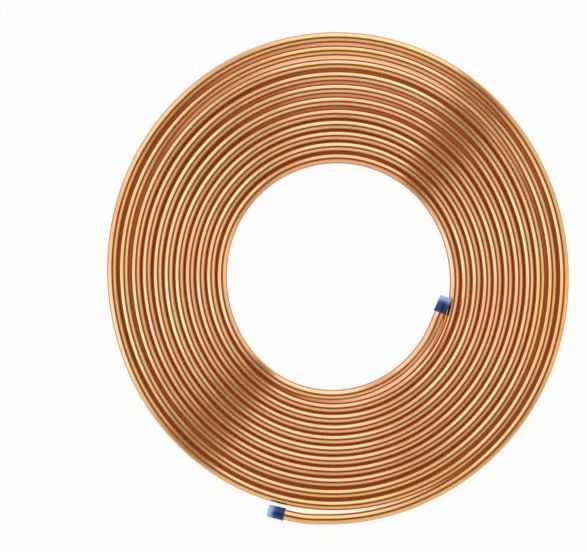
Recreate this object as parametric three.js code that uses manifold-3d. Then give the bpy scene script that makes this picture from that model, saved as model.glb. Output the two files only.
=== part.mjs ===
// Coil of half-inch soft copper tube, as a merchant stocks it: one tube wound flat from the
// inside out, with a push-on plastic cap on each end. It lies on its flat side.
//
// Millimetres, +Z up. The origin is the centre of the winding, on the surface it lies on.
// Azimuths are degrees anticlockwise from +X, seen from above. The tube runs clockwise from its
// inner end outwards. Each turn keeps its own radius until the crossover, the stretch where
// every turn steps out together to the radius of the next.

import * as THREE from 'three';
import { mergeVertices } from 'three/addons/utils/BufferGeometryUtils.js';
import Module from 'manifold-3d';

// Tube
const TUBE_DIAMETER = 12.7;
const TUBE_WALL = 0.81;

// Winding
const FIRST_TURN_RADIUS = 143.4; // centre line of the first full turn, beside the inner end
const INNER_END_GAP = 0.6; // between the inner end and the first turn, before either springs
const TURN_GAPS = [0.8, 0.3, 0.3, 0.3, 0.4, 0.5, 0.7, 0.6, 1.9, 1.6, 2.2]; // first turn outwards
const CROSSOVER_AZIMUTH = 350; // where the crossover starts
const CROSSOVER_SWEEP = 112;
const INNER_END_AZIMUTH = 348.6;
const OUTER_END_AZIMUTH = 253.8;

// Slack: soft tube springs open after it is wound, so the coil isn't quite round
const TOP_BULGE = 3.8; // shared by all turns at the top
const TOP_GAPS = [1, 0.5, 0.5, 0.7, 2.2, 2.5, 2.3, 1.5, 2.4, 1.9, 1.5]; // added to each gap there
const TOP_AZIMUTH = 94;
const TOP_HALF_SWEEP = 106;
const BOTTOM_BULGE = 9; // shared by all turns at the bottom
const BOTTOM_AZIMUTH = 286;
const BOTTOM_HALF_SWEEP = 110;
const INNER_BOW = 3.5; // how far the tube before the first turn bows inwards
const INNER_BOW_WOUND = 48; // middle of the bow, in degrees of winding from the inner end
const INNER_BOW_HALF_SWEEP = 95;
const INNER_END_SPRING = 4.1; // how far each end springs outwards
const INNER_END_SPRING_SWEEP = 12;
const OUTER_END_SPRING = 3.3;
const OUTER_END_SPRING_SWEEP = 45;

// End caps
const CAP_CLEARANCE = 0.3;
const CAP_WALL = 1.2;
const CAP_RIM = 0.4; // how far the bead round the mouth stands out from the wall
const CAP_RIM_LENGTH = 2;
const CAP_END_THICKNESS = 1.8;
const CAP_END_ROUNDING = 2;
const CAP_LENGTH = 21;
const CAP_TO_NEIGHBOUR = 0.3; // free space between the inner cap and the first turn

// Length over which each end rises from the floor to the height of its cap
const RISE_LENGTH = 90;

// Mouths of the tube, which the caps cover
const BORE_DEPTH = 18;

// Faceting
const SIDES = 12; // a flat side faces the floor, one faces up and one faces each neighbour
const STEP = 9; // azimuth between two sections

const { clamp, degToRad, euclideanModulo, lerp, radToDeg, smoothstep } = THREE.MathUtils;
const fullTurn = radToDeg(2 * Math.PI);

const tubeRadius = TUBE_DIAMETER / 2;
const capBore = tubeRadius + CAP_CLEARANCE;
const capRadius = capBore + CAP_WALL;
const capRimRadius = capRadius + CAP_RIM;
const capProud = capRimRadius - tubeRadius;
const capGrip = CAP_LENGTH - CAP_END_THICKNESS - CAP_CLEARANCE;

// Centre-line radii from the inner end (0) to the outer end, and what the top adds to each
const turnRadii = [FIRST_TURN_RADIUS - TUBE_DIAMETER - INNER_END_GAP, FIRST_TURN_RADIUS];
const topBulges = [TOP_BULGE, TOP_BULGE];
for (const [i, gap] of TURN_GAPS.entries()) {
  turnRadii.push(turnRadii.at(-1) + TUBE_DIAMETER + gap);
  topBulges.push(topBulges.at(-1) + TOP_GAPS[i]);
}

const lastTurn = turnRadii.length - 2;
const woundSweep = lastTurn * fullTurn + INNER_END_AZIMUTH - OUTER_END_AZIMUTH;

const UP = new THREE.Vector3(0, 0, 1);

// A smooth swell, 1 where away is 0 and 0 from halfSweep on either side
function swell(away, halfSweep) {
  return Math.abs(away) < halfSweep ? 0.5 + 0.5 * Math.cos((Math.PI * away) / halfSweep) : 0;
}

function azimuthFrom(centre, azimuth) {
  return euclideanModulo(azimuth - centre + fullTurn / 2, fullTurn) - fullTurn / 2;
}

// Radius of the centre line after so many degrees of winding from the inner end
function windingRadius(wound) {
  const azimuth = INNER_END_AZIMUTH - wound;
  const sinceCrossover = CROSSOVER_AZIMUTH - azimuth;
  const turn = clamp(Math.floor(sinceCrossover / fullTurn), 0, lastTurn);
  const crossed = smoothstep(sinceCrossover - turn * fullTurn, 0, CROSSOVER_SWEEP);
  const toOuterEnd = woundSweep - wound;
  return (
    lerp(turnRadii[turn], turnRadii[turn + 1], crossed) +
    lerp(topBulges[turn], topBulges[turn + 1], crossed) *
      swell(azimuthFrom(TOP_AZIMUTH, azimuth), TOP_HALF_SWEEP) +
    BOTTOM_BULGE * swell(azimuthFrom(BOTTOM_AZIMUTH, azimuth), BOTTOM_HALF_SWEEP) -
    INNER_BOW * swell(wound - INNER_BOW_WOUND, INNER_BOW_HALF_SWEEP) +
    INNER_END_SPRING * (1 - smoothstep(wound, 0, INNER_END_SPRING_SWEEP)) +
    OUTER_END_SPRING * (1 - smoothstep(toOuterEnd, 0, OUTER_END_SPRING_SWEEP))
  );
}

// Sections of the tube, as degrees of winding: one at each end, and between them one at every
// STEP, which divides a full turn, so that the facets of neighbouring turns run parallel. The
// first and last stretches are straight for the length of a cap.
function sectionStations() {
  const innerCapSweep = radToDeg(CAP_LENGTH / turnRadii[0]);
  const outerCapSweep = radToDeg(CAP_LENGTH / turnRadii.at(-1));
  const count = Math.floor((woundSweep - outerCapSweep - innerCapSweep) / STEP) + 1;
  const between = Array.from({ length: count }, (_, i) => innerCapSweep + i * STEP);
  return [0, ...between, woundSweep];
}

const stations = sectionStations();

// How far each end is lifted: the outer cap lies on the floor, and the inner cap, which has
// sprung over the edge of the first turn, rests on that turn's shoulder
const outerLift = capProud;
const besideInnerEnd = windingRadius(fullTurn) - windingRadius(0);
const capToTurn = cornerRadius(capRadius) + cornerRadius(tubeRadius) + CAP_TO_NEIGHBOUR;
const innerLift = Math.max(outerLift, Math.sqrt(Math.max(capToTurn ** 2 - besideInnerEnd ** 2, 0)));

// Height of the centre line: the tube lies on the floor, and its two ends rise into their caps
function windingHeight(wound) {
  const toInnerCap = degToRad(wound - stations[1]) * turnRadii[0];
  const toOuterCap = degToRad(stations.at(-2) - wound) * turnRadii.at(-1);
  return (
    tubeRadius +
    innerLift * (1 - smoothstep(toInnerCap, 0, RISE_LENGTH)) +
    outerLift * (1 - smoothstep(toOuterCap, 0, RISE_LENGTH))
  );
}

// Centre line of the tube
class Winding extends THREE.Curve {
  getPoint(t, target = new THREE.Vector3()) {
    const place = t * (stations.length - 1);
    const before = Math.min(Math.floor(place), stations.length - 2);
    const wound = lerp(stations[before], stations[before + 1], place - before);
    const azimuth = degToRad(INNER_END_AZIMUTH - wound);
    const radius = windingRadius(wound);
    return target.set(radius * Math.cos(azimuth), radius * Math.sin(azimuth), windingHeight(wound));
  }

  // Sections fall on the stations, not at equal lengths
  getUtoTmapping(u) {
    return u;
  }

  // Level frames, so that the same flat side faces the floor from end to end
  computeFrenetFrames(segments) {
    const points = this.getSpacedPoints(segments);
    const legs = points.slice(1).map((point, i) => point.clone().sub(points[i]).normalize());
    const tangents = points.map((_, i) => {
      const arriving = legs[i - 1] ?? legs[i];
      const leaving = legs[i] ?? legs[i - 1];
      return arriving.clone().add(leaving).normalize();
    });
    const normals = tangents.map((tangent) => UP.clone().cross(tangent).normalize());
    const binormals = tangents.map((tangent, i) => tangent.clone().cross(normals[i]));
    return { tangents, normals, binormals };
  }
}

// Radius of a polygon's corners, for a radius measured to its flats
function cornerRadius(flatRadius) {
  return flatRadius / Math.cos(Math.PI / SIDES);
}

function tubeSection() {
  const corners = Array.from({ length: SIDES }, (_, i) => {
    const angle = ((i + 0.5) * 2 * Math.PI) / SIDES;
    return new THREE.Vector2(Math.cos(angle), Math.sin(angle)).multiplyScalar(cornerRadius(tubeRadius));
  });
  return new THREE.Shape(corners);
}

// A turned piece with flats that match the tube's. Its axis is +Y, and y = 0 is the end of the tube.
function turned(profile) {
  const points = profile.map(([radius, y]) => new THREE.Vector2(cornerRadius(radius), y));
  return new THREE.LatheGeometry(points, SIDES, Math.PI / SIDES);
}

// Moves a turned piece to an end of the tube, with +Y pointing back along the tube
function placeAtEnd(geometry, endPoint, nextPoint) {
  const along = nextPoint.clone().sub(endPoint).normalize();
  const right = along.clone().cross(UP);
  const placement = new THREE.Matrix4().makeBasis(right, along, UP).setPosition(endPoint);
  return geometry.applyMatrix4(placement);
}

// The plug that is cut out of the tube at each end, to open its mouth
function boreCutter() {
  const boreRadius = tubeRadius - TUBE_WALL;
  const overrun = 1;
  return turned([
    [0, -overrun],
    [boreRadius, -overrun],
    [boreRadius, BORE_DEPTH],
    [0, BORE_DEPTH],
  ]);
}

// A moulded cap: a cup with a rounded closed end and a bead round its mouth
function capGeometry() {
  const closedEnd = -CAP_CLEARANCE - CAP_END_THICKNESS;
  const roundingSteps = 3;
  const rounding = Array.from({ length: roundingSteps + 1 }, (_, i) => {
    const angle = (i / roundingSteps) * (Math.PI / 2);
    return [
      capRadius - CAP_END_ROUNDING * (1 - Math.sin(angle)),
      closedEnd + CAP_END_ROUNDING * (1 - Math.cos(angle)),
    ];
  });
  return turned([
    [0, closedEnd],
    ...rounding,
    [capRadius, capGrip - CAP_RIM_LENGTH],
    [capRimRadius, capGrip - CAP_RIM_LENGTH + CAP_RIM],
    [capRimRadius, capGrip - CAP_RIM],
    [capRadius, capGrip],
    [capBore, capGrip],
    [capBore, -CAP_CLEARANCE],
    [0, -CAP_CLEARANCE],
  ]);
}

const wasm = await Module();
wasm.setup();

function toManifold(geometry) {
  const bare = geometry.clone();
  bare.deleteAttribute('normal');
  bare.deleteAttribute('uv');
  const merged = mergeVertices(bare, 1e-4);
  return new wasm.Manifold(
    new wasm.Mesh({
      numProp: 3,
      vertProperties: new Float32Array(merged.attributes.position.array),
      triVerts: new Uint32Array(merged.index.array),
    }),
  );
}

function toGeometry(solid) {
  const { vertProperties, triVerts } = solid.getMesh();
  const geometry = new THREE.BufferGeometry();
  geometry.setAttribute('position', new THREE.BufferAttribute(vertProperties, 3));
  geometry.setIndex(new THREE.BufferAttribute(triVerts, 1));
  const faceted = geometry.toNonIndexed();
  faceted.computeVertexNormals();
  return faceted;
}

function tubeGeometry(winding, ends) {
  const swept = new THREE.ExtrudeGeometry(tubeSection(), {
    steps: stations.length - 1,
    bevelEnabled: false,
    extrudePath: winding,
  });
  let tube = toManifold(swept);
  for (const [endPoint, nextPoint] of ends) {
    tube = tube.subtract(toManifold(placeAtEnd(boreCutter(), endPoint, nextPoint)));
  }
  return toGeometry(tube);
}

const copper = new THREE.MeshStandardMaterial({ color: 0xd98f63, metalness: 1, roughness: 0.28 });
const bluePlastic = new THREE.MeshStandardMaterial({ color: 0x233f86, metalness: 0, roughness: 0.45 });

const winding = new Winding();
const centrePoints = winding.getSpacedPoints(stations.length - 1);
const innerEnd = [centrePoints[0], centrePoints[1]];
const outerEnd = [centrePoints.at(-1), centrePoints.at(-2)];

const coil = new THREE.Group();
coil.name = 'copper_tube_coil';

const tube = new THREE.Mesh(tubeGeometry(winding, [innerEnd, outerEnd]), copper);
tube.name = 'tube_coil';
coil.add(tube);

for (const [name, end] of Object.entries({ inner_end_cap: innerEnd, outer_end_cap: outerEnd })) {
  const cap = new THREE.Mesh(placeAtEnd(capGeometry(), ...end), bluePlastic);
  cap.name = name;
  coil.add(cap);
}

export default coil;
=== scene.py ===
# %% [markdown]
# # A coil of soft copper tube
#
# Half-inch copper tube is sold in flat coils. It leaves the mill annealed soft, so that it can
# be wound, and a blue plastic cap on each end keeps dirt out of the bore. This file dresses the
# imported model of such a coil: one long round tube, two moulded caps, their finishes, and the
# light tent and camera that show them.

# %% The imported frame
import math

import bpy
import numpy as np
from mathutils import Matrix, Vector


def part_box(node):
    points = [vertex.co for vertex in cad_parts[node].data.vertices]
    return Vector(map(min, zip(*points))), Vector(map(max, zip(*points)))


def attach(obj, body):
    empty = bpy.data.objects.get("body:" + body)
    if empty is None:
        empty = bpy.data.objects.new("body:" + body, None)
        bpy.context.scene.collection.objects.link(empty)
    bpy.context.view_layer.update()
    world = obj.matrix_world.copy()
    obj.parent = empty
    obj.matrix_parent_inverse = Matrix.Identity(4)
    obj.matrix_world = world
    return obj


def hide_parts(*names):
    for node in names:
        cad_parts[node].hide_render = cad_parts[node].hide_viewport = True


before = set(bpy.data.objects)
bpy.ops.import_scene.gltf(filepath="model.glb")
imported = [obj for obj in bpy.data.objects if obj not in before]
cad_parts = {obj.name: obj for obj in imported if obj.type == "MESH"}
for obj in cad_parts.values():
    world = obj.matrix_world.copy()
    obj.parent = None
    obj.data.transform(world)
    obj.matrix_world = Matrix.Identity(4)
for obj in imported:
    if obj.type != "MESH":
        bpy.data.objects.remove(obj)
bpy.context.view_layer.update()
MM = 0.001
rng = np.random.default_rng(50)

for node in sorted(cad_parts):
    low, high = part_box(node)
    print(f"{node}: {[round(1000 * side) for side in high - low]} mm")

# %% [markdown]
# ## The line that the tube follows
#
# The coil is a single tube wound from the inside out. On a winding table, each turn runs at its
# own radius until it steps out, over about a third of a turn, to lie beside the turn before. A
# spiral curve object could carry a bevel, but then the turns would all be evenly spaced. Here the
# radius is a plain function of how far the winding has gone, so the gaps between the turns, the
# slack where the tube has sprung open and the two free ends are each a named number. The numbers
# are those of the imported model, so the round tube lies exactly where the model's solid does.

# %% Winding
TUBE_RADIUS = 6.35 * MM
FIRST_TURN_RADIUS = 143.4 * MM
INNER_END_GAP = 0.6 * MM
TURN_GAPS = np.array([0.8, 0.3, 0.3, 0.3, 0.4, 0.5, 0.7, 0.6, 1.9, 1.6, 2.2]) * MM
CROSSOVER_AZIMUTH, CROSSOVER_SWEEP = 350, 112
INNER_END_AZIMUTH, OUTER_END_AZIMUTH = 348.6, 253.8
TOP_BULGE = 3.8 * MM
TOP_GAPS = np.array([1.0, 0.5, 0.5, 0.7, 2.2, 2.5, 2.3, 1.5, 2.4, 1.9, 1.5]) * MM
TOP_AZIMUTH, TOP_HALF_SWEEP = 94, 106
BOTTOM_BULGE, BOTTOM_AZIMUTH, BOTTOM_HALF_SWEEP = 9 * MM, 286, 110
INNER_BOW, INNER_BOW_WOUND, INNER_BOW_HALF_SWEEP = 3.5 * MM, 48, 95
INNER_END_SPRING, INNER_END_SPRING_SWEEP = 4.1 * MM, 12
OUTER_END_SPRING, OUTER_END_SPRING_SWEEP = 3.3 * MM, 45

steps_out = 2 * TUBE_RADIUS + np.concatenate([[INNER_END_GAP], TURN_GAPS])
turn_radii = FIRST_TURN_RADIUS - steps_out[0] + np.concatenate([[0], np.cumsum(steps_out)])
top_bulges = TOP_BULGE + np.concatenate([[0, 0], np.cumsum(TOP_GAPS)])
last_turn = len(turn_radii) - 2
wound_sweep = last_turn * 360 + INNER_END_AZIMUTH - OUTER_END_AZIMUTH


def ease(value, start, end):
    """0 before start, 1 after end, and smooth between them."""
    x = np.clip((value - start) / (end - start), 0, 1)
    return x * x * (3 - 2 * x)


def swell(away, half_sweep):
    """1 where away is 0, falling smoothly to 0 at half_sweep on either side."""
    return np.where(np.abs(away) < half_sweep, 0.5 + 0.5 * np.cos(np.pi * away / half_sweep), 0)


def azimuth_from(middle, azimuth):
    return (azimuth - middle + 180) % 360 - 180


def winding_radius(wound):
    """Radius of the tube's centre line after so many degrees of winding."""
    azimuth = INNER_END_AZIMUTH - wound
    since = CROSSOVER_AZIMUTH - azimuth
    turn = np.clip(np.floor(since / 360), 0, last_turn).astype(int)
    crossed = ease(since - turn * 360, 0, CROSSOVER_SWEEP)
    at_top = swell(azimuth_from(TOP_AZIMUTH, azimuth), TOP_HALF_SWEEP)
    at_bottom = swell(azimuth_from(BOTTOM_AZIMUTH, azimuth), BOTTOM_HALF_SWEEP)
    return (
        (turn_radii[turn] + top_bulges[turn] * at_top) * (1 - crossed)
        + (turn_radii[turn + 1] + top_bulges[turn + 1] * at_top) * crossed
        + BOTTOM_BULGE * at_bottom
        - INNER_BOW * swell(wound - INNER_BOW_WOUND, INNER_BOW_HALF_SWEEP)
        + INNER_END_SPRING * (1 - ease(wound, 0, INNER_END_SPRING_SWEEP))
        + OUTER_END_SPRING * (1 - ease(wound_sweep - wound, 0, OUTER_END_SPRING_SWEEP))
    )


print(f"{last_turn + 1} turns, {wound_sweep:.0f} degrees of winding")

# %% [markdown]
# ## The two straight ends
#
# A cap can only be pushed onto straight tube, so the last few centimetres at each end are
# straight and then ease into the curve. The outer end lifts off the floor by the thickness of the
# cap's wall and rim. The inner one has sprung out over the first turn, and its cap rests on that
# turn's shoulder. In polar form a straight line through two points is one cross product over
# another, so straight and curved stretches are both radii, and blending them is one line of code.

# %% Straight ends and height
INNER_LEG_SWEEP, OUTER_LEG_SWEEP = 9.2, 4.6
CAP_GRIP = 18.9 * MM
LEG_EASE = 45 * MM
CAP_RIM_RADIUS = 8.25 * MM
CAP_TO_FIRST_TURN = 15.0 * MM
RISE_LENGTH = 90 * MM
INNER_RADIUS, OUTER_RADIUS = turn_radii[0], turn_radii[-1]

beside_inner_end = float(winding_radius(360) - winding_radius(0))
inner_lift = math.sqrt(CAP_TO_FIRST_TURN**2 - beside_inner_end**2)
outer_lift = CAP_RIM_RADIUS - TUBE_RADIUS


def direction(azimuth):
    return np.stack([np.cos(np.radians(azimuth)), np.sin(np.radians(azimuth))], axis=-1)


def cross(a, b):
    return a[..., 0] * b[..., 1] - a[..., 1] * b[..., 0]


def on_plan(wound):
    """The model's centre line in plan."""
    radius = winding_radius(np.asarray(wound, float))
    return radius[..., None] * direction(INNER_END_AZIMUTH - wound)


def straightened(wound, radius, end, leg_end, mean_radius):
    """Radius of the chord from end to leg_end as far as the cap grips, easing to radius."""
    start, chord = on_plan(end), on_plan(leg_end) - on_plan(end)
    from_end = np.radians(np.abs(wound - end)) * mean_radius
    near = from_end < CAP_GRIP + LEG_EASE
    line = cross(start, chord) / cross(direction(INNER_END_AZIMUTH - wound[near]), chord)
    curved = ease(from_end[near], CAP_GRIP, CAP_GRIP + LEG_EASE)
    radius[near] = line * (1 - curved) + radius[near] * curved


def height_above_floor(wound):
    to_inner_cap = np.radians(wound - INNER_LEG_SWEEP) * INNER_RADIUS
    to_outer_cap = np.radians(wound_sweep - OUTER_LEG_SWEEP - wound) * OUTER_RADIUS
    return (
        TUBE_RADIUS
        + inner_lift * (1 - ease(to_inner_cap, 0, RISE_LENGTH))
        + outer_lift * (1 - ease(to_outer_cap, 0, RISE_LENGTH))
    )


print(f"inner end lifted by {inner_lift / MM:.1f} mm, outer end by {outer_lift / MM:.1f} mm")

# %% [markdown]
# ## Hand in the winding
#
# No two turns lie quite alike: soft tube wavers by a tenth of a millimetre or so and doesn't
# touch the floor everywhere. Without that, the reflections would run round the coil like lines
# drawn with a compass. Random numbers for each point would look like gravel, so each waver is a
# sum of a few slow sines with seeded phases. It is kept under half the tightest gap.

# %% Centre line
SECTION_STEP = 2.0
WAVER, WAVER_WAVELENGTHS = 0.09 * MM, (31, 47, 83, 141)
LIFT, LIFT_WAVELENGTHS = 0.22 * MM, (97, 173, 211)
STEADY_SWEEP, FREE_SWEEP = 30, 60  # from each end: where the waver starts, and where it is full
WAVE_PEAK = 1.4  # what a sum of a few sines rarely passes, over the root of their number


def slow_noise(position, wavelengths):
    """About -1 to 1, from one sine for each wavelength, in degrees of winding."""
    phases = rng.uniform(0, 2 * np.pi, len(wavelengths))
    waves = [np.sin(2 * np.pi * position / w + p) for w, p in zip(wavelengths, phases)]
    return sum(waves) / math.sqrt(len(wavelengths)) / WAVE_PEAK


section_count = math.ceil(wound_sweep / SECTION_STEP) + 1
wound = np.linspace(0, wound_sweep, section_count)
radius = winding_radius(wound)
clear_of_ends = ease(np.minimum(wound, wound_sweep - wound), STEADY_SWEEP, FREE_SWEEP)
radius += WAVER * clear_of_ends * slow_noise(wound, WAVER_WAVELENGTHS)
straightened(wound, radius, 0, INNER_LEG_SWEEP, INNER_RADIUS)
straightened(wound, radius, wound_sweep, wound_sweep - OUTER_LEG_SWEEP, OUTER_RADIUS)
height = height_above_floor(wound)
height += LIFT * clear_of_ends * (0.5 + 0.5 * slow_noise(wound, LIFT_WAVELENGTHS))
centre = np.column_stack([radius[:, None] * direction(INNER_END_AZIMUTH - wound), height])
tube_length = np.linalg.norm(np.diff(centre, axis=0), axis=1).sum()
print(f"{section_count} sections, {tube_length:.2f} m of tube")

# %% [markdown]
# ## The tube
#
# A bevelled curve would make a solid rod whose ends have no mouth. So the skin is made ring by
# ring, straight from arrays: 32 corners round and a ring every two degrees is round enough to
# hold a clean highlight and stays well under 200,000 triangles. At each end the rings turn over
# the cut lip and run back down the bore, so the mesh is closed and the mouth is open, as it would
# be with the cap pulled off.

# %% Rings
SIDES = 32
TUBE_WALL = 0.81 * MM
BORE_DEPTH = 18 * MM
LIP_ROUNDING = 0.12 * MM
SIDE_FLATTENING = 0.03 * MM
TUBE_SHARP_FROM = 50

tangent = np.gradient(centre, axis=0)
tangent[0], tangent[-1] = centre[1] - centre[0], centre[-1] - centre[-2]
tangent /= np.linalg.norm(tangent, axis=1, keepdims=True)
outward = np.cross([0, 0, 1], tangent)
outward /= np.linalg.norm(outward, axis=1, keepdims=True)
rising = np.cross(tangent, outward)
around = np.arange(SIDES) * 2 * np.pi / SIDES


def ring(section, ring_radius, inward=0.0):
    """One ring of corners at a section, moved inward along the tube from its end."""
    heading = 1 if section == 0 else -1
    middle = centre[section] + heading * inward * tangent[section]
    across = np.cos(around)[:, None] * outward[section] * (ring_radius - SIDE_FLATTENING)
    return middle + across + np.sin(around)[:, None] * rising[section] * ring_radius


bore_radius = TUBE_RADIUS - TUBE_WALL
mouth_profile = [  # radius, distance back from the cut end: from the bottom of the bore outwards
    (bore_radius, BORE_DEPTH),
    (bore_radius, BORE_DEPTH / 2),
    (bore_radius, LIP_ROUNDING),
    (bore_radius + LIP_ROUNDING, 0),
    (TUBE_RADIUS - LIP_ROUNDING, 0),
    (TUBE_RADIUS, LIP_ROUNDING),
]
last = section_count - 1
rings = [ring(0, r, back) for r, back in mouth_profile]
rings += [ring(section, TUBE_RADIUS) for section in range(1, last)]
rings += [ring(last, r, back) for r, back in reversed(mouth_profile)]
bore_ends = [rings[0].mean(axis=0), rings[-1].mean(axis=0)]
corners = np.vstack([*rings, *bore_ends])
ring_count = len(rings)

first_corner = np.arange(ring_count - 1)[:, None] * SIDES
side, next_side = np.arange(SIDES), (np.arange(SIDES) + 1) % SIDES
quads = np.stack(
    [
        first_corner + side,
        first_corner + next_side,
        first_corner + SIDES + next_side,
        first_corner + SIDES + side,
    ],
    axis=-1,
).reshape(-1, 4)
last_corner = (ring_count - 1) * SIDES
start_hub, end_hub = ring_count * SIDES, ring_count * SIDES + 1
start_fan = np.column_stack([next_side, side, np.full(SIDES, start_hub)])
end_fan = np.column_stack([last_corner + side, last_corner + next_side, np.full(SIDES, end_hub)])
tube_faces = [*quads.tolist(), *start_fan.tolist(), *end_fan.tolist()]


def mesh_object(name, points, faces, sharp_from=None):
    """A mesh and its object in the scene, smooth except at edges sharper than sharp_from."""
    mesh = bpy.data.meshes.new(name)
    mesh.from_pydata(points.tolist(), [], faces)
    if sharp_from:
        mesh.validate()
        mesh.shade_smooth()
        mesh.set_sharp_from_angle(angle=math.radians(sharp_from))
    thing = bpy.data.objects.new(name, mesh)
    bpy.context.scene.collection.objects.link(thing)
    return thing


tube = mesh_object("soft_copper_tube", corners, tube_faces, TUBE_SHARP_FROM)
tube_mesh = tube.data
print(f"tube: {len(quads) * 2 + 2 * SIDES} triangles")

# %% [markdown]
# ## Where a point is on the straight tube
#
# Draw marks run along a tube and a drip of tarnish runs round it, whichever way the coil turns.
# Noise in the room's own axes would cut across them. So each corner carries its place on the tube
# before it was wound: two numbers for the round section and one for the distance along it. Noise
# that reads them has no seam, and can be stretched along the tube. The same distances lay the
# skin out flat for a texture, as rows of strip stacked into a square sheet, which wastes little
# of it.

# %% Places along the tube and a flat layout
LAYOUT_ROWS = 19
ROW_GAP = 2 * MM
LAYOUT_NAME = "OFBake"

surface_run = np.concatenate(
    [[0], np.cumsum([np.linalg.norm(b - a, axis=1).mean() for a, b in zip(rings, rings[1:])])]
)
first_run, last_run = surface_run[0], surface_run[-1]
places_on_rings = np.column_stack(
    [
        np.tile(np.cos(around) * TUBE_RADIUS, ring_count),
        np.tile(np.sin(around) * TUBE_RADIUS, ring_count),
        np.repeat(surface_run, SIDES),
    ]
)
tube_places = np.vstack([places_on_rings, (0, 0, first_run), (0, 0, last_run)])


def keep_on_corners(mesh, name, kind, field, values):
    """Stores a value or a vector on each corner of a mesh, for a finish to read."""
    attribute = mesh.attributes.new(name, kind, "POINT")
    attribute.data.foreach_set(field, values.astype(np.float32).ravel())


keep_on_corners(tube_mesh, "tube_place", "FLOAT_VECTOR", "vector", tube_places)

side_width = 2 * np.pi * TUBE_RADIUS / SIDES
row_height = 2 * np.pi * TUBE_RADIUS + ROW_GAP
row_length = last_run / LAYOUT_ROWS
longest_step = np.diff(surface_run).max()
sheet = max(LAYOUT_ROWS * row_height, row_length + 2 * longest_step)


def laid_flat(along, corner_side, row):
    """Where a corner lies on the sheet, from 0 to 1 each way."""
    return np.stack(
        [
            (along - row * row_length + longest_step) / sheet,
            (row * row_height + ROW_GAP / 2 + corner_side * side_width) / sheet,
        ],
        axis=-1,
    )


def fan_laid_flat(rim, hub, row, order):
    """The fan that closes a bore, laid flat beyond the last ring of its row."""
    rim_corners = [laid_flat(np.full(SIDES, rim), side + across, row) for across in order]
    hub_corner = laid_flat(np.full(SIDES, hub), side + 0.5, row)
    return np.stack([*rim_corners, hub_corner], axis=1)


quad_ring = np.repeat(np.arange(ring_count - 1), SIDES)
quad_side = np.tile(side, ring_count - 1)
quad_row = np.floor((surface_run[quad_ring] + surface_run[quad_ring + 1]) / 2 / row_length)
quad_layout = np.stack(
    [
        laid_flat(surface_run[quad_ring + along], quad_side + across, quad_row)
        for along, across in ((0, 0), (0, 1), (1, 1), (1, 0))
    ],
    axis=1,
)
start_layout = fan_laid_flat(first_run, first_run - bore_radius, 0, (1, 0))
end_layout = fan_laid_flat(last_run, last_run + bore_radius, LAYOUT_ROWS - 1, (0, 1))
layout = tube_mesh.uv_layers.new(name=LAYOUT_NAME)
flat_corners = np.concatenate([quad_layout.ravel(), start_layout.ravel(), end_layout.ravel()])
layout.uv.foreach_set("vector", flat_corners.astype(np.float32))
print(f"layout: {LAYOUT_ROWS} rows of {row_length:.2f} m on a {sheet:.2f} m sheet")

# %% [markdown]
# ## Writing shaders as sums
#
# A node tree is easier to read as arithmetic. `Wire` holds one output socket, and `+`, `-`, `*`
# and `/` on it add Math nodes, with a number on either side. `Finish.node` adds any other node:
# its settings first, then the values or wires of its sockets.

# %% Shader helpers


class Wire:
    """An output socket in an expression on values."""

    def __init__(self, finish, socket):
        self.finish, self.socket = finish, socket

    def __add__(self, other):
        return self.finish.math("ADD", self, other)

    def __radd__(self, other):
        return self.finish.math("ADD", other, self)

    def __sub__(self, other):
        return self.finish.math("SUBTRACT", self, other)

    def __rsub__(self, other):
        return self.finish.math("SUBTRACT", other, self)

    def __mul__(self, other):
        return self.finish.math("MULTIPLY", self, other)

    def __rmul__(self, other):
        return self.finish.math("MULTIPLY", other, self)

    def __truediv__(self, other):
        return self.finish.math("DIVIDE", self, other)

    def __rtruediv__(self, other):
        return self.finish.math("DIVIDE", other, self)


class Finish:
    """A node tree and what adds nodes to it."""

    def __init__(self, owner):
        owner.use_nodes = True
        self.tree = owner.node_tree
        self.tree.nodes.clear()

    def node(self, kind, settings=None, sockets=None, output=0):
        """Adds a node. Settings come first, then socket values or wires, by name or number."""
        node = self.tree.nodes.new(kind)
        for name, value in (settings or {}).items():
            setattr(node, name, value)
        for key, value in (sockets or {}).items():
            if isinstance(value, Wire):
                self.tree.links.new(value.socket, node.inputs[key])
            else:
                node.inputs[key].default_value = value
        return Wire(self, node.outputs[output]) if node.outputs else node

    def math(self, operation, *values):
        return self.node("ShaderNodeMath", {"operation": operation}, dict(enumerate(values)))

    def between(self, value, start, end):
        """0 at start, 1 at end, and smooth between them."""
        settings = {"interpolation_type": "SMOOTHSTEP"}
        return self.node("ShaderNodeMapRange", settings, {"Value": value, 1: start, 2: end})

    def mix(self, amount, first, second):
        """From one colour to the other."""
        return self.node(
            "ShaderNodeMix",
            {"data_type": "RGBA", "clamp_factor": True},
            {"Factor": amount, "A": first, "B": second},
            "Result",
        )

    def part(self, place, axis):
        """One number of a place: its X, Y or Z."""
        return self.node("ShaderNodeSeparateXYZ", sockets={0: place}, output=axis)

    def stretched(self, place, scale):
        """A place scaled by three factors."""
        return self.node("ShaderNodeVectorMath", {"operation": "MULTIPLY"}, {0: place, 1: scale})

    def noise(self, place, scale, detail=2.0, roughness=0.5):
        """Noise at a place, about 0.5, with scale in cells a metre along each axis."""
        return self.node(
            "ShaderNodeTexNoise",
            {"noise_dimensions": "3D"},
            {
                "Vector": self.stretched(place, scale),
                "Scale": 1.0,
                "Detail": detail,
                "Roughness": roughness,
            },
        )
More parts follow.
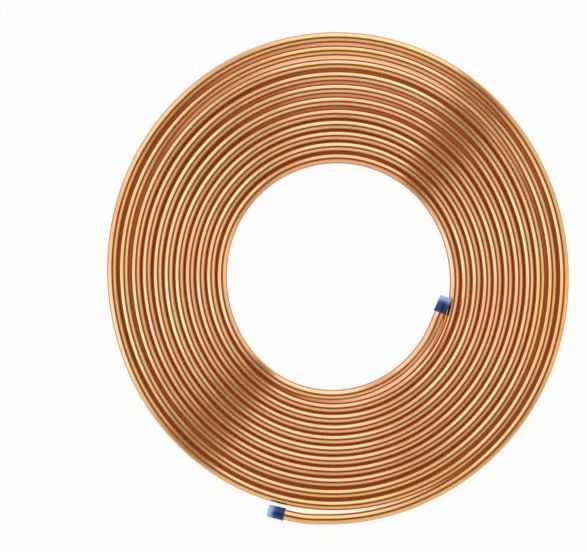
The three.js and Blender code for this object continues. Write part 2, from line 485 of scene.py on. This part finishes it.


# %% [markdown]
# ## Copper
#
# Bright-drawn copper is almost a mirror. Its colour is all in the reflection, so the base colour
# is the metal's own and Metallic is 1. What makes it look like tube and not gold foil is the
# wear: fine draw marks along it, a brownish bloom where air and fingers reach, and dull patches
# from handling. The grooves where turns touch are red-brown, partly grime and partly painted
# shade: a matt, hardly metallic dark colour on the upper flanks beside each neighbour stands for
# the shade between the turns, so the grooves keep a warm colour where a bare metal would only
# mirror the dark. The outer turns have been in the air the longest and have turned a little
# golden.

# %% Copper finish
COPPER = (0.93, 0.43, 0.215, 1)
COPPER_PALE = (0.96, 0.54, 0.27, 1)
COPPER_GOLDEN = (0.92, 0.47, 0.165, 1)
GOLDEN_FROM, GOLDEN_FULL, GOLDEN_MOST = 9.0, 12.0, 0.5
TARNISH, TARNISH_MOST = (0.55, 0.20, 0.075, 1), 0.45
# The grooves' red-brown is partly grime and partly painted shade between the turns.
GROOVE_GRIME_AND_SHADE, GRIME_AND_SHADE_DULLS = (0.46, 0.145, 0.032, 1), 0.85
GROOVE_START, GROOVE_FULL = 0.70, 0.82  # squares of how far across the tube, 1 at its side
GROOVE_BOTTOM, GROOVE_TOP = -0.2, 0.0  # how far up the tube, 1 at its crest
EDGE_TINT = (0.62, 0.48, 0.34, 1)
DRAW_MARK_DEPTH = 0.004 * MM
WAVINESS_DEPTH = 0.03 * MM

copper = bpy.data.materials.new("drawn_copper")
f = Finish(copper)
place = f.node("ShaderNodeAttribute", {"attribute_name": "tube_place"}, output="Vector")
across_tube = f.part(place, "X") / TUBE_RADIUS
up_tube = f.part(place, "Y") / TUBE_RADIUS
along_tube = f.part(place, "Z")

draw_marks = f.noise(place, (1900, 1900, 14), detail=3)
waviness = f.noise(place, (140, 140, 34), detail=1)
patches = f.noise(place, (70, 70, 11), detail=4, roughness=0.6)
hue_drift = f.noise(place, (20, 20, 2.2), detail=1)
handling = f.noise(place, (160, 160, 60), detail=5, roughness=0.65)

at_side = f.between(across_tube * across_tube, GROOVE_START, GROOVE_FULL)
in_groove = at_side * f.between(up_tube, GROOVE_BOTTOM, GROOVE_TOP)
bloom = f.between(patches, 0.50, 0.78) * TARNISH_MOST
metal = f.mix(f.between(hue_drift, 0.35, 0.65), COPPER, COPPER_PALE)
golden = f.between(along_tube, GOLDEN_FROM, GOLDEN_FULL) * GOLDEN_MOST
metal = f.mix(golden, metal, COPPER_GOLDEN)
metal = f.mix(bloom, metal, TARNISH)
# Painted shade with grime: a darker, matt red-brown on the upper flanks where the turns touch.
grime_and_shade = in_groove * (0.75 + patches * 0.4)
metal = f.mix(grime_and_shade, metal, GROOVE_GRIME_AND_SHADE)
dull = f.between(handling, 0.50, 0.72)
roughness = 0.13 + draw_marks * 0.06 + dull * 0.08 + bloom * 0.10 + grime_and_shade * 0.20

waved = f.node("ShaderNodeBump", sockets={"Distance": WAVINESS_DEPTH, "Height": waviness})
scored = f.node(
    "ShaderNodeBump",
    sockets={"Distance": DRAW_MARK_DEPTH, "Height": draw_marks, "Normal": waved},
)
surface = f.node(
    "ShaderNodeBsdfPrincipled",
    sockets={
        "Base Color": metal,
        "Metallic": 1.0 - grime_and_shade * GRIME_AND_SHADE_DULLS,
        "Roughness": roughness,
        "Specular IOR Level": 0.05,
        "Specular Tint": EDGE_TINT,
        "Normal": scored,
    },
)
f.node("ShaderNodeOutputMaterial", sockets={"Surface": surface})
tube_mesh.materials.append(copper)
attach(tube, "root")
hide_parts("tube_coil")
print(f"copper: {len(f.tree.nodes)} nodes")

# %% [markdown]
# ## The caps
#
# Each cap is a small moulded cup: a slightly tapered wall, so that it comes off its core, a
# closed end with a rounded corner and the stub of the gate where the plastic went in, and a bead
# round the mouth that stops it splitting. A cylinder with a bevel would round every edge alike.
# So the cap is turned from its profile, as the moulder's core and cavity are, with each corner
# rounded by its own radius so that it catches the light.

# %% Cap profile
CAP_SIDES = 72
CAP_BORE_RADIUS = 6.42 * MM
CAP_RADIUS = 7.85 * MM
CAP_TAPER = 0.2 * MM
CAP_END = -2.1 * MM
CAP_END_THICKNESS = 1.8 * MM
END_ROUNDING = 2.0 * MM
RIM_LENGTH = 2.0 * MM
RIM_ROUNDING = 0.45 * MM
RIM_FILLET = 0.1 * MM
MOUTH_BEVEL_WIDTH, MOUTH_BEVEL_DEPTH = 0.25 * MM, 0.35 * MM
GATE_RADIUS, GATE_HEIGHT = 1.3 * MM, 0.25 * MM
GATE_BEVEL_WIDTH, GATE_BEVEL_HEIGHT = 0.26 * MM, 0.1 * MM
ROUNDING_STEPS = 8
CAP_SHARP_FROM = 40


def rounded(corner_radius, corner_y, rounding, start_angle, steps=ROUNDING_STEPS):
    """A quarter circle in the profile, about the point (corner_radius, corner_y)."""
    angles = np.radians(start_angle + np.linspace(0, 90, steps + 1))
    return [
        (corner_radius + rounding * math.cos(a), corner_y + rounding * math.sin(a)) for a in angles
    ]


closed_radius = CAP_RADIUS - CAP_TAPER
rim_start = CAP_GRIP - RIM_LENGTH
rim_middle_radius = CAP_RIM_RADIUS - RIM_ROUNDING
cap_profile = [
    (0, CAP_END - GATE_HEIGHT),
    (GATE_RADIUS - GATE_BEVEL_WIDTH, CAP_END - GATE_HEIGHT),
    (GATE_RADIUS, CAP_END - GATE_HEIGHT + GATE_BEVEL_HEIGHT),
    (GATE_RADIUS, CAP_END),
    (closed_radius / 2, CAP_END),
    *rounded(closed_radius - END_ROUNDING, CAP_END + END_ROUNDING, END_ROUNDING, -90),
    (CAP_RADIUS - CAP_TAPER / 2, CAP_GRIP / 2),
    (CAP_RADIUS, rim_start - RIM_ROUNDING),
    (CAP_RADIUS + RIM_FILLET, rim_start - RIM_FILLET),
    *rounded(rim_middle_radius, rim_start + RIM_ROUNDING, RIM_ROUNDING, -60),
    *rounded(rim_middle_radius, CAP_GRIP - RIM_ROUNDING, RIM_ROUNDING, 0),
    (CAP_BORE_RADIUS + MOUTH_BEVEL_WIDTH, CAP_GRIP),
    (CAP_BORE_RADIUS, CAP_GRIP - MOUTH_BEVEL_DEPTH),
    (CAP_BORE_RADIUS, CAP_END + CAP_END_THICKNESS),
    (0, CAP_END + CAP_END_THICKNESS),
]
print(f"cap profile: {len(cap_profile)} points")


# %% Turned caps
def turned_cap(name, end_section, next_section):
    """A cap turned from the profile, with its mouth towards the rest of the tube."""
    along = centre[next_section] - centre[end_section]
    along /= np.linalg.norm(along)
    across = np.cross(along, [0, 0, 1])
    upward = np.cross(across, along)
    angles = np.arange(CAP_SIDES) * 2 * np.pi / CAP_SIDES
    spokes = np.cos(angles)[:, None] * across + np.sin(angles)[:, None] * upward
    points, faces = [], []
    for radius, y in cap_profile:
        hub = centre[end_section] + y * along
        points.append(hub[None] if radius == 0 else hub + radius * spokes)
    starts = np.cumsum([0] + [len(p) for p in points])
    for level in range(len(points) - 1):
        for spoke in range(CAP_SIDES):
            near = [starts[level] + s % len(points[level]) for s in (spoke, spoke + 1)]
            far = [starts[level + 1] + s % len(points[level + 1]) for s in (spoke + 1, spoke)]
            faces.append([int(v) for v in dict.fromkeys(near + far)])
    points = np.vstack(points)
    cap = mesh_object(name, points, faces, CAP_SHARP_FROM)
    place_on_cap = (points - centre[end_section]) @ np.column_stack([across, upward, along])
    keep_on_corners(cap.data, "cap_place", "FLOAT_VECTOR", "vector", place_on_cap)
    print(f"{name}: {len(faces)} faces")
    return cap


inner_cap = turned_cap("inner_tube_cap", 0, 1)
outer_cap = turned_cap("outer_tube_cap", last, last - 1)

# %% [markdown]
# ## Blue plastic
#
# The caps are soft polythene, a little waxy, with the fine grain of the mould in it. Their
# colour runs from a pale milky blue at the closed end to navy towards the mouth. That is partly
# the cloudy plastic, which stands clear of the tube at the closed end and is stretched thin and
# tight over metal towards the mouth, and partly painted light: the closed end is painted pale as
# if lit, and the mouth dark as if in shade. Scattering under the skin could show the plastic's
# part, but on a piece this small a change of colour along the cap looks the same and keeps in a
# plain texture. Light that glances off the plastic has been just under the skin, so its sheen
# is blue too. Edges that rub in transit are paler and duller, most of all the bead and the
# closed end's corner.

# %% Plastic finish
# The milky closed end and the deep mouth are partly the plastic and partly painted light and
# shade.
BLUE_MILKY_LIT = (0.42, 0.56, 0.78, 1)
BLUE = (0.008, 0.023, 0.11, 1)
BLUE_DEEP_SHADED = (0.002, 0.006, 0.035, 1)
BLUE_RUBBED = (0.10, 0.18, 0.40, 1)
PLASTIC_SHEEN = (0.34, 0.52, 0.95, 1)
OVER_TUBE_END, OVER_TUBE_FULL, AT_MOUTH = -1 * MM, 8 * MM, 13 * MM
CLOUD_SHIFT = 5 * MM
CORNER_FULL, CORNER_END, RUB_FULL_INSET = -1.2 * MM, 0.6 * MM, 0.3 * MM
GRAIN_DEPTH = 0.03 * MM

plastic = bpy.data.materials.new("moulded_blue_polythene")
f = Finish(plastic)
place = f.node("ShaderNodeAttribute", {"attribute_name": "cap_place"}, output="Vector")
along_cap = f.part(place, "Z")
from_axis = f.node(
    "ShaderNodeVectorMath",
    {"operation": "LENGTH"},
    {0: f.stretched(place, (1, 1, 0))},
    "Value",
)
grain = f.noise(place, (2600, 2600, 2600), detail=2)
clouds = f.noise(place, (150, 150, 90), detail=3)
scuffs = f.noise(place, (500, 500, 1800), detail=4, roughness=0.7)

on_bead = f.between(from_axis, CAP_RADIUS + RIM_FILLET, CAP_RIM_RADIUS)
near_end = 1.0 - f.between(along_cap, CORNER_FULL, CORNER_END)
on_end_corner = near_end * f.between(
    from_axis, closed_radius - END_ROUNDING, closed_radius - RUB_FULL_INSET
)
rubbed = (on_bead * 0.25 + on_end_corner * 0.5) * f.between(scuffs, 0.42, 0.62)
sunk = along_cap + (clouds - 0.5) * CLOUD_SHIFT
# Painted light along the cap, with the plastic's cloudiness: pale as if lit at the closed end,
# navy as if shaded at the mouth.
colour = f.mix(f.between(sunk, OVER_TUBE_END, OVER_TUBE_FULL), BLUE_MILKY_LIT, BLUE)
colour = f.mix(f.between(sunk, OVER_TUBE_FULL, AT_MOUTH), colour, BLUE_DEEP_SHADED)
colour = f.mix(rubbed, colour, BLUE_RUBBED)
roughness = 0.26 + rubbed * 0.2 + f.between(clouds, 0.4, 0.6) * 0.08
grained = f.node("ShaderNodeBump", sockets={"Distance": GRAIN_DEPTH, "Height": grain})
surface = f.node(
    "ShaderNodeBsdfPrincipled",
    sockets={
        "Base Color": colour,
        "Roughness": roughness,
        "Specular IOR Level": 1.0,
        "Specular Tint": PLASTIC_SHEEN,
        "Normal": grained,
    },
)
f.node("ShaderNodeOutputMaterial", sockets={"Surface": surface})
for cap, node in ((inner_cap, "inner_end_cap"), (outer_cap, "outer_end_cap")):
    cap.data.materials.append(plastic)
    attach(cap, "root")
    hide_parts(node)
print(f"plastic: {len(f.tree.nodes)} nodes")

# %% [markdown]
# ## A light tent
#
# Polished metal shows the room. The coil lies in a tent of white cloth, lit harder on one side
# than on the other. The two sides meet at dim seams, the cloth hangs in folds that are brighter
# or duller, it is paler low down where the floor lights it, it stops short of the floor, and the
# camera looks in through a round hole near the top. Each turn then shows the bright side on one
# flank, the softer side on the other, and a thin dark line near its crest where it mirrors the
# hole. Round the coil the folds make the flanks brighten and dim. Area lamps would show in every
# turn as hard rectangles. So the tent is the world, painted by direction: each hanging is placed
# by the azimuth that it faces the coil from.

# %% World
KEY_AZIMUTH = 135
KEY, FILL = (1.32, 1.46, 1.68, 1), (0.84, 0.86, 0.86, 1)
HANGINGS = (  # azimuth, half-widths of the even part and of the edge, light
    (195, 7, 16, (1.40, 1.66, 2.10, 1)),
    (117, 5, 16, (0.84, 0.80, 0.84, 1)),
    (169, 4, 14, (1.22, 1.20, 1.28, 1)),
    (213, 4, 11, (0.92, 0.98, 1.10, 1)),
    (352, 7, 18, (0.97, 1.04, 1.05, 1)),
    (20, 8, 18, (0.78, 0.94, 1.06, 1)),
    (319, 7, 19, (0.56, 0.58, 0.58, 1)),
    (48, 5, 9, (0.36, 0.27, 0.23, 1)),
    (227, 4, 12, (0.48, 0.40, 0.38, 1)),
)
FROM_FLOOR, LOW_TOP, LOW_END = (1.08, 1.28, 1.50), 58, 78
SKIRT, SKIRT_TOP, SKIRT_END = (0.45, 0.45, 0.30, 1), 84, 93
HOLE, HOLE_TILT, HOLE_RADIUS, HOLE_EDGE = (0.21, 0.145, 0.02, 1), 8, 14, 32

SEAM = 0.01

world = bpy.data.worlds.new("light_tent")
bpy.context.scene.world = world
f = Finish(world)
towards = f.node("ShaderNodeTexCoord", output="Generated")


def along_axis(axis):
    """How far the direction leans towards an axis: 1 along it, 0 across it."""
    settings = {"operation": "DOT_PRODUCT"}
    return f.node("ShaderNodeVectorMath", settings, {0: towards, 1: axis}, "Value")


def cosine(degrees):
    return math.cos(math.radians(degrees))


upward = along_axis((0, 0, 1))
level_part = f.math("SQRT", 1.0 - upward * upward)
towards_key = along_axis((*direction(KEY_AZIMUTH), 0))
tent = f.mix(f.between(towards_key, -SEAM, SEAM), FILL, KEY)
for azimuth, even, edge, light in HANGINGS:
    towards_middle = along_axis((*direction(azimuth), 0)) / level_part
    tent = f.mix(f.between(towards_middle, cosine(edge), cosine(even)), tent, light)
hole_tilt = math.radians(HOLE_TILT)
hole_axis = (*(-math.sin(hole_tilt) * direction(KEY_AZIMUTH)), math.cos(hole_tilt))
in_hole = f.between(along_axis(hole_axis), cosine(HOLE_EDGE), cosine(HOLE_RADIUS))
low_down = 1.0 - f.between(upward, cosine(LOW_END), cosine(LOW_TOP))
in_skirt = 1.0 - f.between(upward, cosine(SKIRT_END), cosine(SKIRT_TOP))
tent = f.mix(low_down, tent, f.stretched(tent, FROM_FLOOR))
tent = f.mix(in_skirt, tent, SKIRT)
tent = f.mix(in_hole, tent, HOLE)
lit_tent = f.node("ShaderNodeBackground", sockets={"Color": tent, "Strength": 1.0})
f.node("ShaderNodeOutputWorld", sockets={"Surface": lit_tent})
print(f"tent: {len(HANGINGS)} hangings, {len(f.tree.nodes)} nodes")

# %% [markdown]
# ## The floor
#
# The floor is matt white card, large enough to fill every view from above the horizon. To the
# camera and in polished metal it mostly glows at its own white, so that it stays even in every
# view without more light on the coil. The rest of it is lit, and keeps a soft shadow.

# %% Floor
FLOOR_SIZE = 30.0
FLOOR_DEPTH = 0.2 * MM  # below the coil, so that no face of it lies in the floor
FLOOR_WHITE = (1, 1, 0.985, 1)
CARD_GLOW = 0.88


def ray_is(*kinds):
    """1 for rays of these kinds, 0 for all others."""
    return sum(f.node("ShaderNodeLightPath", output=f"Is {kind} Ray") for kind in kinds)


bpy.ops.mesh.primitive_plane_add(size=FLOOR_SIZE, location=(0, 0, -FLOOR_DEPTH))
floor = bpy.context.object
floor.name = "floor"
card = bpy.data.materials.new("white_card")
f = Finish(card)
lit = f.node("ShaderNodeBsdfDiffuse", sockets={"Color": FLOOR_WHITE})
glowing = f.node("ShaderNodeEmission", sockets={"Color": FLOOR_WHITE, "Strength": 1.0})
glow = ray_is("Camera", "Glossy", "Transmission") * CARD_GLOW
mixed = f.node("ShaderNodeMixShader", sockets={0: glow, 1: lit, 2: glowing})
f.node("ShaderNodeOutputMaterial", sockets={"Surface": mixed})
floor.data.materials.append(card)
print(f"floor: {FLOOR_SIZE:.0f} m square")

# %% [markdown]
# ## Light between the turns
#
# What little light reaches the card between two turns has been from copper to copper on its way,
# and has turned the redder the narrower the gap. That takes more bounces than are traced. So a
# strip of card follows the gap from one end of the coil to the other, and glows with painted
# light: the colour that a gap of its width lets through, to the camera and in the metal beside
# it. The side of a gap next to the turn that stands in the light is painted the darker one. Where
# the turns run across the key light they shade the gap, and beside the outer end light also
# comes in under the tube. So in those places the gap counts as a narrower or a wider one.

# %% Card in the gaps
STRIP_STEP = 3.0
STRIP_DEPTH = 0.1 * MM
GAP_COLOURS = (  # from the narrowest gap to the widest
    (1.4 * MM, (0.165, 0.033, 0.004, 1)),
    (2.3 * MM, (0.34, 0.100, 0.025, 1)),
    (3.0 * MM, (0.60, 0.25, 0.11, 1)),
    (4.1 * MM, (0.92, 0.55, 0.33, 1)),
    (6.0 * MM, (1.0, 0.94, 0.78, 1)),
)
SHADED_BY, SHADED_HALF_SWEEP = 0.8 * MM, 45
SLANT = 0.8 * MM
OPENED_BY, OPENED_SWEEP = 1.6 * MM, (30, 55)


def on_centre_line(at):
    return np.stack([np.interp(at, wound, centre[:, axis]) for axis in (0, 1)], axis=-1)


strip_wound = np.arange(0, wound_sweep - 360, STRIP_STEP)
inner_side, outer_side = on_centre_line(strip_wound), on_centre_line(strip_wound + 360)
gap_width = np.linalg.norm(outer_side - inner_side, axis=1) - 2 * TUBE_RADIUS
from_key = azimuth_from(KEY_AZIMUTH, INNER_END_AZIMUTH - strip_wound)
to_outer_end = wound_sweep - 360 - strip_wound
counts_as = (
    gap_width
    - SHADED_BY * swell(from_key, SHADED_HALF_SWEEP)
    + OPENED_BY * (1 - ease(to_outer_end, *OPENED_SWEEP))
)
slant = SLANT * np.cos(np.radians(KEY_AZIMUTH - INNER_END_AZIMUTH + strip_wound))
counts_as = np.concatenate([counts_as + slant, counts_as - slant])
strip_points = np.vstack([inner_side, outer_side])
strip_points = np.column_stack([strip_points, np.full(len(strip_points), -STRIP_DEPTH)])
inner_corner = np.arange(len(strip_wound) - 1)
outer_corner = inner_corner + len(strip_wound)
strip_faces = np.stack([inner_corner, inner_corner + 1, outer_corner + 1, outer_corner], axis=-1)
strip = mesh_object("card_between_turns", strip_points, strip_faces.tolist())
keep_on_corners(strip.data, "gap_width", "FLOAT", "value", counts_as)

copper_lit = bpy.data.materials.new("copper_lit_card")
f = Finish(copper_lit)
gap = f.node("ShaderNodeAttribute", {"attribute_name": "gap_width"}, output="Fac")
colour = GAP_COLOURS[0][1]
for (narrower, _), (wider, wider_colour) in zip(GAP_COLOURS, GAP_COLOURS[1:]):
    colour = f.mix(f.between(gap, narrower, wider), colour, wider_colour)
lit = f.node("ShaderNodeBsdfDiffuse", sockets={"Color": FLOOR_WHITE})
# Painted light: the strip glows with the gap's colour to the camera and in the metal.
glowing = f.node("ShaderNodeEmission", sockets={"Color": colour, "Strength": 1.0})
glow = ray_is("Camera", "Glossy", "Transmission")
mixed = f.node("ShaderNodeMixShader", sockets={0: glow, 1: lit, 2: glowing})
f.node("ShaderNodeOutputMaterial", sockets={"Surface": mixed})
strip.data.materials.append(copper_lit)
print(f"gaps: {gap_width.min() / MM:.1f} to {gap_width.max() / MM:.1f} mm")

# %% [markdown]
# ## Camera
#
# A long lens looks straight down from a copy stand, a little to the left of the coil. A short one
# would look past the outer turns' crests into the floor beyond, and show the turns on the two
# sides from different angles.

# %% Camera
VIEW_WIDTH = 0.7285
CAMERA_HEIGHT = 2.75
VIEW_CENTRE = (-0.0546, 0.0009)

camera_data = bpy.data.cameras.new("copy_stand")
camera_data.lens = camera_data.sensor_width * CAMERA_HEIGHT / VIEW_WIDTH
camera = bpy.data.objects.new("copy_stand", camera_data)
camera.location = (*VIEW_CENTRE, CAMERA_HEIGHT + TUBE_RADIUS)
bpy.context.scene.collection.objects.link(camera)
bpy.context.scene.camera = camera
bpy.context.scene.view_settings.view_transform = "Standard"
print(f"lens {camera_data.lens:.0f} mm")
